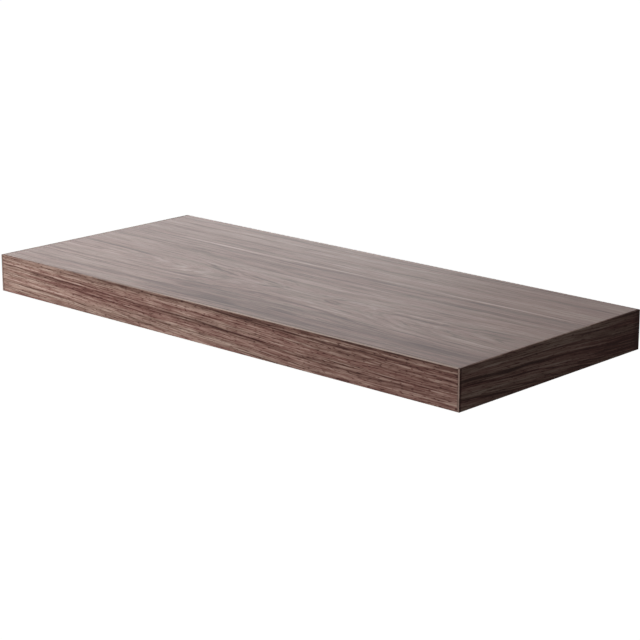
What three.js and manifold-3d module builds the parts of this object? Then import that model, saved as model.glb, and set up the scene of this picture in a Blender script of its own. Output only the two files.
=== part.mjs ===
// Floating wall shelf: a hollow veneered board that slides onto a concealed steel bracket.
// Millimetres, +X along the shelf, +Y towards the wall, +Z up. The origin is the middle of the
// bracket's wall face, so the wall is the plane y = 0 and the board's mid-thickness is z = 0.

import * as THREE from 'three';
import { mergeGeometries, mergeVertices } from 'three/addons/utils/BufferGeometryUtils.js';
import Module from 'manifold-3d';

// Outside of the board
const shelfLength = 600;
const shelfDepth = 260;
const shelfThickness = 38;

// Layers of the board, with the film of glue between any two glued faces
const veneerThickness = 0.6;
const skinThickness = 3;
const bandThickness = 2;
const glueLine = 0.1;
const arrisRadius = 1;

// Softwood frame between the skins
const frontRailWidth = 30;
const endRailWidth = 30;
const rearRailWidth = 34;
const rodBlockWidth = 56;

// Paper honeycomb: a cell across its flats, and the paper between two cells
const cellWidth = 25;
const paperThickness = 0.6;

// Bracket bar: its clearances in the pocket at the back of the board, and its corners
const barThickness = 5;
const barFrontClearance = 0.5;
const barEndClearance = 2.9;
const barEdgeClearance = 1.2;
const barCornerRadius = 3;

// Slots for the wall screws, countersunk from the front of the bar
const slotWidth = 6.5;
const slotRun = 14;
const slotMouthWidth = 12.3;
const outerSlotInset = 61.8;

// Support rods: how far their centres stand in from the ends of the shelf, how far their tips
// stop short of the front rail, and the room that each has in its bore
const rodDiameter = 12;
const rodInset = 150;
const rodTipSetback = 27;
const rodChamfer = 1.5;
const rodSeatGap = 0.1;
const boreClearance = 0.4;
const boreRunOn = 5;

// Countersunk screws that hold the rods to the bar
const screwDiameter = 6;
const screwLength = 16;
const screwHeadDiameter = 11.4;
const screwHeadSink = 0.3;
const screwSocketWidth = 4;
const screwSocketDepth = 2.2;
const screwTipChamfer = 0.8;
const screwHoleRunOn = 2;
const threadClearance = 0.3;

// Threaded inserts in the underside, and the grub screws in them that pinch the rods
const insertDiameter = 10;
const insertSetback = 0.6;
const insertChamfer = 0.5;
const lockScrewDiameter = 6;
const lockScrewTipGap = 0.3;
const lockScrewRecess = 2.7;
const lockScrewChamfer = 0.8;
const lockSocketWidth = 3;
const lockSocketDepth = 3.5;

// How far a cutter runs past the face that it cuts
const overrun = 1;

// Facets of the round pieces and of the rounded arrises
const roundSides = 24;
const arrisSteps = 4;

// Levels and depths that the pieces share
const halfLength = shelfLength / 2;
const halfThickness = shelfThickness / 2;
const skinOuter = halfThickness - veneerThickness - glueLine;
const skinInner = skinOuter - skinThickness;
const frameTop = skinInner - glueLine;
const panelEnd = halfLength - bandThickness - glueLine;
const panelFront = -(shelfDepth - bandThickness - glueLine);
const endRailInner = panelEnd - endRailWidth;
const infillEnd = endRailInner - glueLine;
const frontRailBack = panelFront + frontRailWidth;
const rearRailBack = -(barThickness + barFrontClearance);
const rearRailFront = rearRailBack - rearRailWidth;
const infillBack = rearRailFront - glueLine;
const infillFront = frontRailBack + glueLine;

// The two sides of the shelf, and the bracket with what lines up with it
const sides = [['left', -1], ['right', 1]];
const barHalfLength = endRailInner - barEndClearance;
const barHeight = 2 * (frameTop - barEdgeClearance);
const rodX = halfLength - rodInset;
const rodRadius = rodDiameter / 2;
const boreRadius = rodRadius + boreClearance;
const rodBack = -(barThickness + rodSeatGap);
const rodTip = frontRailBack + rodTipSetback;
const rodLength = rodBack - rodTip;
const screwRadius = screwDiameter / 2;
const screwHoleRadius = screwRadius + threadClearance;
const screwHeadRadius = screwHeadDiameter / 2;
const lockY = (rearRailBack + rearRailFront) / 2;
const insertRadius = insertDiameter / 2;
const insertTop = -(boreRadius + insertSetback);
const lockScrewTop = -(rodRadius + lockScrewTipGap);
const lockScrewBottom = -(halfThickness - lockScrewRecess);

// Materials
function finish(color, roughness, metalness) {
  return new THREE.MeshStandardMaterial({ color, roughness, metalness });
}

const walnut = () => finish('#7a5f55', 0.45, 0);
const hardboard = () => finish('#8a6a4c', 0.8, 0);
const softwood = () => finish('#d8b98a', 0.7, 0);
const kraftPaper = () => finish('#b58f63', 0.9, 0);
const zincSteel = () => finish('#b9bcc0', 0.35, 1);
const blackSteel = () => finish('#3b3b3d', 0.45, 1);
const brass = () => finish('#c7a75a', 0.35, 1);

// Solids for joining and cutting, and back again
const wasm = await Module();
wasm.setup();

function toSolid(geometry) {
  const bare = geometry.clone();
  bare.deleteAttribute('normal');
  bare.deleteAttribute('uv');
  const merged = mergeVertices(bare);
  return new wasm.Manifold(new wasm.Mesh({
    numProp: 3,
    vertProperties: new Float32Array(merged.attributes.position.array),
    triVerts: new Uint32Array(merged.index.array),
  }));
}

function toGeometry(solid) {
  const mesh = solid.getMesh();
  const geometry = new THREE.BufferGeometry();
  geometry.setAttribute('position', new THREE.BufferAttribute(mesh.vertProperties, 3));
  geometry.setIndex(new THREE.BufferAttribute(mesh.triVerts, 1));
  geometry.computeVertexNormals();
  return geometry;
}

// Cuts placed tools out of a placed piece, whose geometry stays about its own centre.
function cut(piece, tools) {
  piece.updateMatrix();
  const intoPiece = piece.matrix.clone().invert();
  let solid = toSolid(piece.geometry);
  for (const tool of tools) {
    tool.updateMatrix();
    const place = intoPiece.clone().multiply(tool.matrix);
    solid = solid.subtract(toSolid(tool.geometry.clone().applyMatrix4(place)));
  }
  piece.geometry = toGeometry(solid);
  return piece;
}

// Turns for shapes and turned profiles that are drawn in their own x and y
const xAxis = new THREE.Vector3(1, 0, 0);
const yAxis = new THREE.Vector3(0, 1, 0);
const zAxis = new THREE.Vector3(0, 0, 1);
const upright = new THREE.Matrix4().makeBasis(xAxis, zAxis, yAxis.clone().negate());
const lengthwise = new THREE.Matrix4().makeBasis(yAxis, zAxis, xAxis);

function place(mesh, x, y, z) {
  mesh.position.set(x, y, z);
  return mesh;
}

function named(name, geometry, material) {
  const mesh = new THREE.Mesh(geometry, material);
  mesh.name = name;
  return mesh;
}

// A straight board between two bounds on each axis.
function board(name, material, [x0, x1], [y0, y1], [z0, z1]) {
  const geometry = new THREE.BoxGeometry(x1 - x0, y1 - y0, z1 - z0);
  return place(named(name, geometry, material), (x0 + x1) / 2, (y0 + y1) / 2, (z0 + z1) / 2);
}

// An outline from corners [x, y, radius], each rounded where it has a radius.
function outline(corners) {
  const points = corners.map(([x, y]) => new THREE.Vector2(x, y));
  const shape = new THREE.Shape();
  corners.forEach(([x, y, radius = 0], i) => {
    const corner = points[i];
    const before = points.at(i - 1).clone().sub(corner).setLength(radius).add(corner);
    const after = points[(i + 1) % points.length].clone().sub(corner).setLength(radius).add(corner);
    if (i === 0) shape.moveTo(before.x, before.y);
    else shape.lineTo(before.x, before.y);
    if (radius > 0) shape.quadraticCurveTo(x, y, after.x, after.y);
  });
  shape.closePath();
  return shape;
}

function extrude(shape, depth) {
  return new THREE.ExtrudeGeometry(shape, { depth, bevelEnabled: false, curveSegments: arrisSteps });
}

// A profile of [radius, y] turned about y. It starts half a facet round if it is to be stretched.
function turned(points, start = 0) {
  const profile = points.map(([radius, y]) => new THREE.Vector2(radius, y));
  return new THREE.LatheGeometry(profile, roundSides, start);
}

function bore(radius, length) {
  return new THREE.CylinderGeometry(radius, radius, length, roundSides);
}

// A hexagonal prism by its width across the flats, with its axis along y.
function hexKeyHole(width, depth) {
  const radius = width / Math.sqrt(3);
  return new THREE.CylinderGeometry(radius, radius, depth, 6);
}

// Holes for the threaded inserts, from the underside up into the rods' bores
function insertHoles() {
  const depth = halfThickness + overrun;
  return sides.map(([, side]) => {
    const hole = bore(insertRadius + glueLine, depth).applyMatrix4(upright);
    return place(new THREE.Mesh(hole), side * rodX, lockY, -depth / 2);
  });
}

// The board's faces: veneer over skin, top and bottom
function faces() {
  const across = [-panelEnd, panelEnd];
  const deep = [panelFront, 0];
  const veneer = [skinOuter + glueLine, halfThickness];
  const underVeneer = [-halfThickness, -skinOuter - glueLine];
  return [
    board('top_veneer', walnut(), across, deep, veneer),
    board('top_skin', hardboard(), across, deep, [skinInner, skinOuter]),
    cut(board('bottom_skin', hardboard(), across, deep, [-skinOuter, -skinInner]), insertHoles()),
    cut(board('bottom_veneer', walnut(), across, deep, underVeneer), insertHoles()),
  ];
}

// Edging: the front band lies between the two end bands, which run to the wall
function bands() {
  const front = outline([
    [0, -halfThickness],
    [0, halfThickness],
    [-bandThickness, halfThickness, arrisRadius],
    [-bandThickness, -halfThickness, arrisRadius],
  ]);
  const frontBand = named('front_band', extrude(front, 2 * panelEnd).applyMatrix4(lengthwise), walnut());
  return [
    place(frontBand, -panelEnd, panelFront - glueLine, 0),
    endBand('left_band', -1),
    endBand('right_band', 1),
  ];
}

// An end band is rounded along its outer edges and at the front: the plan, the section and the
// side view of it cross in one solid.
function endBand(name, side) {
  const outer = side * bandThickness;
  const plan = outline([[0, 0], [outer, 0], [outer, -shelfDepth, arrisRadius], [0, -shelfDepth]]);
  const section = outline([
    [0, -halfThickness],
    [outer, -halfThickness, arrisRadius],
    [outer, halfThickness, arrisRadius],
    [0, halfThickness],
  ]);
  const sideView = outline([
    [0, halfThickness],
    [0, -halfThickness],
    [-shelfDepth, -halfThickness, arrisRadius],
    [-shelfDepth, halfThickness, arrisRadius],
  ]);
  const planSolid = toSolid(extrude(plan, shelfThickness).translate(0, 0, -halfThickness));
  const sectionSolid = toSolid(extrude(section, shelfDepth).applyMatrix4(upright));
  const sideSolid = toSolid(
    extrude(sideView, 2 * bandThickness).translate(0, 0, -bandThickness).applyMatrix4(lengthwise),
  );
  const solid = planSolid.intersect(sectionSolid).intersect(sideSolid);
  return place(named(name, toGeometry(solid), walnut()), side * (panelEnd + glueLine), 0, 0);
}

// Softwood frame, bored for the rods and for the threaded inserts
function frame() {
  const high = [-frameTop, frameTop];
  const boreDepth = boreRunOn - rodTip;
  const rodBores = sides.map(([, side]) => (
    place(new THREE.Mesh(bore(boreRadius, boreDepth)), side * rodX, -boreDepth / 2, 0)
  ));
  const between = [-infillEnd, infillEnd];
  const rear = board('rear_rail', softwood(), between, [rearRailFront, rearRailBack], high);
  const pieces = [
    board('front_rail', softwood(), [-panelEnd, panelEnd], [panelFront, frontRailBack], high),
    board('left_end_rail', softwood(), [-panelEnd, -endRailInner], [infillFront, 0], high),
    board('right_end_rail', softwood(), [endRailInner, panelEnd], [infillFront, 0], high),
    cut(rear, [...rodBores, ...insertHoles()]),
  ];
  for (const [word, side] of sides) {
    const across = [side * rodX - rodBlockWidth / 2, side * rodX + rodBlockWidth / 2];
    const block = board(`${word}_rod_block`, softwood(), across, [infillFront, infillBack], high);
    pieces.push(cut(block, rodBores));
  }
  return pieces;
}

// Expanded paper honeycomb that fills the space between two bounds along the shelf.
function honeycomb(name, [x0, x1]) {
  const core = board(name, kraftPaper(), [x0, x1], [infillFront, infillBack], [-frameTop, frameTop]);
  const pitch = cellWidth + paperThickness;
  const rowStep = pitch * Math.sqrt(3) / 2;
  const rows = Math.ceil((infillBack - infillFront) / rowStep / 2) + 1;
  const columns = Math.ceil((x1 - x0) / pitch / 2) + 1;
  const cell = hexKeyHole(cellWidth, shelfThickness).applyMatrix4(upright);
  const cells = [];
  for (let row = -rows; row <= rows; row += 1) {
    for (let column = -columns; column <= columns; column += 1) {
      const stagger = row % 2 === 0 ? 0 : pitch / 2;
      cells.push(cell.clone().translate(column * pitch + stagger, row * rowStep, 0));
    }
  }
  const walls = toSolid(core.geometry).subtract(toSolid(mergeGeometries(cells)));
  const largest = walls.decompose().reduce((a, b) => (a.volume() > b.volume() ? a : b));
  core.geometry = toGeometry(largest);
  return core;
}

function cores() {
  const blockInner = rodX - rodBlockWidth / 2 - glueLine;
  const blockOuter = rodX + rodBlockWidth / 2 + glueLine;
  return [
    honeycomb('left_core', [-infillEnd, -blockOuter]),
    honeycomb('centre_core', [-blockInner, blockInner]),
    honeycomb('right_core', [blockOuter, infillEnd]),
  ];
}

// A countersunk hole through the bar, with its mouth at y = 0 and facing +Y.
function countersunkHole(holeRadius, mouthRadius, start = 0) {
  const coneDepth = mouthRadius - holeRadius;
  const through = -(barThickness + overrun);
  return turned([
    [0, through],
    [holeRadius, through],
    [holeRadius, -coneDepth],
    [mouthRadius, 0],
    [mouthRadius, overrun],
    [0, overrun],
  ], start);
}

// A countersunk slot: the two halves of a round hole pulled apart along x.
function countersunkSlot(width, mouthWidth, run) {
  const slot = countersunkHole(width / 2, mouthWidth / 2, Math.PI / roundSides);
  const { position } = slot.attributes;
  for (let i = 0; i < position.count; i += 1) {
    const x = position.getX(i);
    position.setX(i, x + Math.sign(x) * run / 2);
  }
  return slot;
}

// Wall bracket: bar, two rods and the screws that hold them
function bracket() {
  const halfHeight = barHeight / 2;
  const face = outline([
    [-barHalfLength, -halfHeight, barCornerRadius],
    [barHalfLength, -halfHeight, barCornerRadius],
    [barHalfLength, halfHeight, barCornerRadius],
    [-barHalfLength, halfHeight, barCornerRadius],
  ]);
  const bar = named('bracket_bar', extrude(face, barThickness).applyMatrix4(upright), zincSteel());
  const outerSlotX = barHalfLength - outerSlotInset;
  const innerSlotX = rodX / 2;
  const tools = [-outerSlotX, -innerSlotX, innerSlotX, outerSlotX].map((x) => {
    const slot = new THREE.Mesh(countersunkSlot(slotWidth, slotMouthWidth, slotRun));
    slot.rotation.x = Math.PI;
    return place(slot, x, -barThickness, 0);
  });
  const mouthRadius = screwHeadRadius + threadClearance + screwHeadSink;
  for (const [, side] of sides) {
    const hole = new THREE.Mesh(countersunkHole(screwHoleRadius, mouthRadius));
    tools.push(place(hole, side * rodX, 0, 0));
  }
  const pieces = [cut(bar, tools)];
  for (const [word, side] of sides) {
    pieces.push(place(named(`${word}_rod`, rodShape(), zincSteel()), side * rodX, rodBack, 0));
    pieces.push(rodScrew(`${word}_rod_screw`, side * rodX));
  }
  return pieces;
}

// A rod reaches from its seat at y = 0 towards -Y, with a tapped hole in its seat.
function rodShape() {
  const holeDepth = screwLength + screwHeadSink - barThickness + screwHoleRunOn;
  return turned([
    [0, -rodLength],
    [rodRadius - rodChamfer, -rodLength],
    [rodRadius, -rodLength + rodChamfer],
    [rodRadius, 0],
    [screwHoleRadius, 0],
    [screwHoleRadius, -holeDepth],
    [0, -holeDepth],
  ]);
}

function rodScrew(name, x) {
  const coneDepth = screwHeadRadius - screwRadius;
  const shank = turned([
    [0, -screwLength],
    [screwRadius - screwTipChamfer, -screwLength],
    [screwRadius, -screwLength + screwTipChamfer],
    [screwRadius, -coneDepth],
    [screwHeadRadius, 0],
    [0, 0],
  ]);
  const socket = new THREE.Mesh(hexKeyHole(screwSocketWidth, 2 * screwSocketDepth));
  return place(cut(named(name, shank, zincSteel()), [socket]), x, -screwHeadSink, 0);
}

// Brass sleeve, flush with the underside, under a rod
function insert(name, x) {
  const length = halfThickness + insertTop;
  const innerRadius = lockScrewDiameter / 2 + threadClearance;
  const sleeve = turned([
    [innerRadius, 0],
    [insertRadius - insertChamfer, 0],
    [insertRadius, insertChamfer],
    [insertRadius, length - insertChamfer],
    [insertRadius - insertChamfer, length],
    [innerRadius, length],
    [innerRadius, 0],
  ]).applyMatrix4(upright);
  return place(named(name, sleeve, brass()), x, lockY, -halfThickness);
}

// Grub screw in the sleeve, with its tip just under the rod and its key socket facing down
function lockScrew(name, x) {
  const radius = lockScrewDiameter / 2;
  const length = lockScrewTop - lockScrewBottom;
  const body = turned([
    [0, 0],
    [radius - lockScrewChamfer, 0],
    [radius, lockScrewChamfer],
    [radius, length - lockScrewChamfer],
    [radius - lockScrewChamfer, length],
    [0, length],
  ]).applyMatrix4(upright);
  const socket = hexKeyHole(lockSocketWidth, 2 * lockSocketDepth).applyMatrix4(upright);
  const screw = cut(named(name, body, blackSteel()), [new THREE.Mesh(socket)]);
  return place(screw, x, lockY, lockScrewBottom);
}

function group(...pieces) {
  const made = new THREE.Group();
  made.add(...pieces);
  return made;
}

const inserts = sides.map(([word, side]) => insert(`${word}_insert`, side * rodX));
const lockScrews = sides.map(([word, side]) => lockScrew(`${word}_lock_screw`, side * rodX));
const floatingShelf = group(
  group(...bracket()),
  group(...faces(), ...bands(), ...frame(), ...cores(), ...inserts),
  ...lockScrews,
);

export default floatingShelf;
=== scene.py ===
import math

import bmesh
import bpy
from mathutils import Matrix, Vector


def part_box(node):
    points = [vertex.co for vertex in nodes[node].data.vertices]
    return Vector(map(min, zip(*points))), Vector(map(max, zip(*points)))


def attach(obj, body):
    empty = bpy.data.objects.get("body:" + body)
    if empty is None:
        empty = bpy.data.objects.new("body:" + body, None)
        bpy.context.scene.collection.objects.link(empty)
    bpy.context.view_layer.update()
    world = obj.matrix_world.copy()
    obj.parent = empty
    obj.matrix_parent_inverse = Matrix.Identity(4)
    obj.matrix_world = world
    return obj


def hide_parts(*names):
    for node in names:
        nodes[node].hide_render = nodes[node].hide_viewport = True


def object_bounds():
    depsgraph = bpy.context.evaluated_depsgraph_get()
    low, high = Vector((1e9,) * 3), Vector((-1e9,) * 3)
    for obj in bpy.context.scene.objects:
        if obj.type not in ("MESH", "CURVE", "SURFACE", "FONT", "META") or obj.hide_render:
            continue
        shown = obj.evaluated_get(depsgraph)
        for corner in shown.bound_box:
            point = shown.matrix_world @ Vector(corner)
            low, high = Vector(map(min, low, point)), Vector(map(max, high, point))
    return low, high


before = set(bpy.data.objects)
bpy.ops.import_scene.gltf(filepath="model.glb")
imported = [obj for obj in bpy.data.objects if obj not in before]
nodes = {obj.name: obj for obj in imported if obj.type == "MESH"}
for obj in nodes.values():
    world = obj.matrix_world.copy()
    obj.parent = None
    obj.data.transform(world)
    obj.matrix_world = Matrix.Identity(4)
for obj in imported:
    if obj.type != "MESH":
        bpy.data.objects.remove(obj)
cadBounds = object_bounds()
mm = 0.001  # sizes below are in millimetres, the scene is in metres
print("frame loaded:", len(nodes), "nodes")


def lookAt(obj, target):
    obj.rotation_euler = (Vector(target) - obj.location).to_track_quat("-Z", "Y").to_euler()


# Camera, at the angle of the photograph, in degrees and mm
camera = {
    "azimuth": 42.94,
    "elevation": 15.17,
    "distance": 1939.0,
    "lens": 112.78,
    "sensor": 36.0,
    "aimRight": 16.2,
    "aimUp": -19.9,
}


def makeCamera():
    azimuth, elevation = math.radians(camera["azimuth"]), math.radians(camera["elevation"])
    back = Vector((
        math.sin(azimuth) * math.cos(elevation),
        -math.cos(azimuth) * math.cos(elevation),
        math.sin(elevation),
    ))
    right = Vector((0, 0, 1)).cross(back).normalized()
    up = back.cross(right)
    low, high = cadBounds
    aim = (low + high) / 2 + right * camera["aimRight"] * mm + up * camera["aimUp"] * mm
    data = bpy.data.cameras.new("photoCamera")
    data.lens = camera["lens"]
    data.sensor_width = camera["sensor"]
    obj = bpy.data.objects.new("photoCamera", data)
    bpy.context.scene.collection.objects.link(obj)
    obj.location = aim + back * camera["distance"] * mm
    obj.rotation_euler = back.to_track_quat("Z", "Y").to_euler()
    bpy.context.scene.camera = obj


makeCamera()
print("camera placed")


# Colours are written as sRGB hex values
def fromHex(text):
    channels = [int(text[i:i + 2], 16) / 255 for i in (1, 3, 5)]
    return tuple(c / 12.92 if c <= 0.04045 else ((c + 0.055) / 1.055) ** 2.4 for c in channels) + (1.0,)


# Adds a node: inputs are values, sockets or nodes (for their first output) by name or number, stops are
# those of a colour ramp, and points those that a curve goes through
def addNode(tree, kind, inputs, stops=(), points=(), **settings):
    node = tree.nodes.new("ShaderNode" + kind)
    for name, value in settings.items():
        setattr(node, name, value)
    for key, value in inputs.items():
        if isinstance(value, bpy.types.Node):
            value = value.outputs[0]
        if isinstance(value, bpy.types.NodeSocket):
            tree.links.new(value, node.inputs[key])
        else:
            node.inputs[key].default_value = value
    for i, (position, colour) in enumerate(stops):
        elements = node.color_ramp.elements
        element = elements[i] if i < 2 else elements.new(position)
        element.position, element.color = position, fromHex(colour)
    if points:
        node.mapping.use_clip = False
        curve = node.mapping.curves[0].points
        curve[0].location, curve[1].location = points[0], points[-1]
        for point in points[1:-1]:
            curve.new(*point)
        node.mapping.update()
    return node


def newMaterial(name):
    material = bpy.data.materials.new(name)
    material.use_nodes = True
    tree = material.node_tree
    tree.nodes.clear()
    return material, tree


# Ends a material with its shader. Its relief comes from a pattern's height, with a strength and a depth
# in mm.
def finishMaterial(tree, colour, rough, height=None, bump=(0, 0), metal=0.0, specular=0.5):
    inputs = {"Base Color": colour, "Roughness": rough, "Metallic": metal, "Specular IOR Level": specular}
    if height is not None:
        relief = addNode(tree, "Bump", {"Height": height, "Strength": bump[0], "Distance": bump[1] * mm})
        inputs["Normal"] = relief
    shader = addNode(tree, "BsdfPrincipled", inputs)
    addNode(tree, "OutputMaterial", {"Surface": shader})


# Lights, world and floor
studio = {
    "keyPlace": (-804, -910, 281),
    "keySize": (1600, 1800),
    "keyWatts": 30.8,
    "topPlace": (-200, 300, 1300),
    "topSize": (1200, 1000),
    "topWatts": 0.5,
    "fillPlace": (660, -680, 120),
    "fillSize": (250, 250),
    "fillAim": (300, -200, 0),
    "fillWatts": 0.21,
    "backPlace": (-1020, 685, 290),
    "backSize": (900, 350),
    "backWatts": 1.8,
    "ambient": 0.10,
    "floorLevel": -2400,
    "floorSize": 60000,
    "floorColour": "#e9e8e6",
    "floorGlow": 0.94,
}


def makeLamp(name, target):
    data = bpy.data.lights.new(name + "Lamp", "AREA")
    data.energy = studio[name + "Watts"]
    data.shape = "RECTANGLE"
    data.size, data.size_y = Vector(studio[name + "Size"]) * mm
    obj = bpy.data.objects.new(name + "Lamp", data)
    bpy.context.scene.collection.objects.link(obj)
    obj.location = Vector(studio[name + "Place"]) * mm
    lookAt(obj, target)
    return obj


# 1 for the rays that should find a white background: the camera's, reflected and refracted ones
def whiteRays(tree):
    path = addNode(tree, "LightPath", {})
    seen = addNode(tree, "Math", {0: path.outputs["Is Camera Ray"], 1: path.outputs["Is Glossy Ray"]},
                   operation="MAXIMUM")
    return addNode(tree, "Math", {0: seen, 1: path.outputs["Is Transmission Ray"]}, operation="MAXIMUM")


def makeStudio():
    centre = (cadBounds[0] + cadBounds[1]) / 2
    key = makeLamp("key", centre)
    key.visible_glossy = False  # so that its glare doesn't hide the grain and the steel in other views
    makeLamp("top", centre)
    makeLamp("fill", Vector(studio["fillAim"]) * mm)
    makeLamp("back", centre)
    world = bpy.data.worlds.new("studioWorld")
    bpy.context.scene.world = world
    world.use_nodes = True
    tree = world.node_tree
    tree.nodes.clear()
    white = whiteRays(tree)
    strength = addNode(tree, "MapRange", {"Value": white, "To Min": studio["ambient"], "To Max": 1.0})
    background = addNode(tree, "Background", {"Color": (1, 1, 1, 1), "Strength": strength})
    addNode(tree, "OutputWorld", {"Surface": background})
    level = studio["floorLevel"] * mm
    bpy.ops.mesh.primitive_plane_add(size=studio["floorSize"] * mm, location=(0, 0, level))
    floor = bpy.context.active_object
    floor.name = "studioFloor"
    material, tree = newMaterial("matt white floor")
    white = whiteRays(tree)
    glow = addNode(tree, "MapRange", {"Value": white, "To Min": 0.0, "To Max": studio["floorGlow"]})
    paint = addNode(tree, "BsdfDiffuse", {"Color": fromHex(studio["floorColour"])})
    light = addNode(tree, "Emission", {"Color": (1, 1, 1, 1), "Strength": glow})
    both = addNode(tree, "AddShader", {0: paint, 1: light})
    addNode(tree, "OutputMaterial", {"Surface": both})
    floor.data.materials.append(material)


bpy.context.scene.view_settings.view_transform = "Standard"
makeStudio()
print("studio lit")

# Walnut: sliced veneer under a satin lacquer. Long dark lines of late wood on a paler ground, fine
# fibres and short open pores; the lacquer gives a soft sheen that grows at a low angle.
walnut = {
    "tones": [(0.0, "#3b2925"), (0.28, "#5d453e"), (0.5, "#7b6359"), (0.72, "#957f74"), (1.0, "#ae9b8f")],
    "redTones": [(0.0, "#3d2623"), (0.28, "#60423c"), (0.5, "#7e6058"), (0.72, "#967d72"), (1.0, "#ad988e")],
    "tone": 0.5,
    "broad": (700, 15, 0.42),  # length and width of a streak in mm, and how far it moves the tone
    "bands": (420, 4.6, 0.45),
    "lines": (300, 1.7, 0.38),
    "fibres": (38, 0.8, 0.30),
    "late": (520, 3.4, 0.34),
    "pores": (9, 0.75, 0.34),  # real pores are about 0.2 mm wide: drawn wider, so that they show
    "redness": (170, 4),
    # From the noise where each one starts to the noise where it is full
    "lateRange": (0.56, 0.70),
    "poreRange": (0.58, 0.72),
    "unevenRange": (0.34, 0.62),
    "redRange": (0.36, 0.60),
    "redTop": (14.0, 11.0, 0.3),  # on an edge, the redness falls to this share between these heights
    "redRight": (260, 0.75),  # on the front, it grows to this share as far along as this
    # Painted highlight on the front's upper arris: its pale colour, and the heights where it comes in
    "paintedArrisGlint": "#b5a399",
    "paintedGlintHeight": (18.35, 18.65),
    "askew": 0.6,  # how far the grain leans through the thickness, so that a rounded edge doesn't stretch it
    "ragged": (40, 5, 1.0),  # how raggedly the drawn lines run, in mm
    "heartRagged": (34, 7, 5.0),  # and the arcs of a figure
    "heartSpread": 14,  # the streaks of a figure change over so many mm across it
    "lineFade": 1.6,  # a drawn line fades over so many half widths
    "lineEnds": (60, 0.7),  # and its ends over so many mm, or this share of half its length
    "drawnShare": (0.6, 1.2),  # the least and the most of its tone along its way
    "roughSpan": (0.08, -0.05),  # dark lines are rougher than the pale ground
    "bump": (0.25, 0.08),  # strength, and depth in mm
}

# Grain of each walnut face, in mm. A drawn line has its half width, its tone, and the points that it
# goes through, along the grain and across it. Seeds only keep the faces from looking alike.
topGrain = {
    "along": 0, "across": 1, "plane": 19, "seed": 3.7, "wander": (230, 42, 5.0),
    "specular": 0.5, "roughness": 0.45,
    "contrast": 0.58, "broad": (500, 22, 0.32), "bands": (420, 4.6, 0.33), "lines": (220, 1.5, 0.38),
    "fibres": (36, 1.4, 0.57), "uneven": (70, 3),
    "heart": {"along": 36, "across": -170, "reach": 330, "depth": 42},
    "drawn": [
        # Broad shades
        (28, -0.08, [(-330, -98), (380, -98)]), (26, -0.20, [(-120, -230), (0, -234), (380, -234)]),
        # Between the wall and the figure
        (2.0, 0.36, [(-240, -77.5), (300, -78)]), (1.9, -0.18, [(-90, -84.5), (330, -84.5)]),
        (1.3, -0.2, [(0, -47), (180, -47)]), (1.6, 0.12, [(90, -97), (330, -97)]),
        (1.7, -0.18, [(105, -105), (300, -105)]),
        (2.5, -0.15, [(-200, -105.5), (-90, -105.5)]), (1.8, -0.21, [(-95, -123), (0, -126), (120, -130)]),
        (2.0, -0.18, [(125, -133), (260, -133)]), (2.0, -0.18, [(-235, -133), (-150, -138), (-90, -148)]),
        # The figure: arcs that end in a tip, open to the left and to the right
        (2.8, -0.26, [(-310, -152.5), (-230, -154), (-150, -157)]),
        (1.8, -0.34, [(-118, -149), (-85, -153.5), (-60, -160), (-48, -167)]),
        (1.9, -0.34, [(-66, -144.5), (-36, -152.5), (-12, -156), (8, -162)]),
        (7.0, 0.20, [(-135, -181), (-85, -179)]), (1.6, -0.24, [(-22, -174), (-8, -168), (10, -161)]),
        (1.4, -0.12, [(-22, -142.5), (-4, -141), (16, -152)]),
        (1.8, -0.34, [(62, -169), (72, -162), (85, -157), (115, -152.5)]),
        (1.8, -0.32, [(62, -168), (72, -173), (92, -176.5)]),
        (2.2, 0.24, [(118, -158), (250, -159)]), (2.0, -0.26, [(124, -163.5), (215, -167)]),
        (4.5, -0.22, [(243, -164), (285, -164)]),
        # Between the figure and the front
        (1.2, -0.21, [(245, -198), (330, -199)]),
        (1.5, 0.17, [(-210, -195), (-50, -195)]), (1.6, -0.18, [(-210, -200.5), (-50, -201)]),
        (1.5, 0.21, [(-20, -193.5), (100, -196.5), (220, -203)]),
        (1.6, -0.21, [(-20, -199), (90, -201), (120, -206), (200, -208), (260, -212), (330, -216)]),
        (0.9, -0.15, [(10, -212), (120, -213)]),
        (4.0, -0.17, [(-300, -230), (-50, -233)]), (4.5, -0.24, [(-42, -238.5), (28, -239.5)]),
        (2.5, -0.2, [(42, -226), (92, -228)]), (4.5, -0.17, [(165, -224), (250, -228), (330, -231)]),
        (3.0, -0.15, [(212, -227), (264, -229)]), (0.9, -0.24, [(-140, -257.3), (330, -257.3)]),
    ],
}
underGrain = {
    "along": 0, "across": 1, "plane": 19, "seed": 11.3, "wander": (260, 50, 5.0),
    "specular": 0.5, "roughness": 0.45, "contrast": 0.5, "uneven": (70, 3),
    "heart": {"along": -90, "across": -107, "reach": 380, "depth": 47},
    "drawn": [
        (2.0, -0.28, [(-330, -31), (330, -37)]), (1.8, -0.3, [(-330, -219), (330, -211)]),
        (4.0, 0.2, [(-120, -174), (330, -180)]), (1.4, 0.25, [(-60, -68), (280, -61)]),
    ],
}
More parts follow.
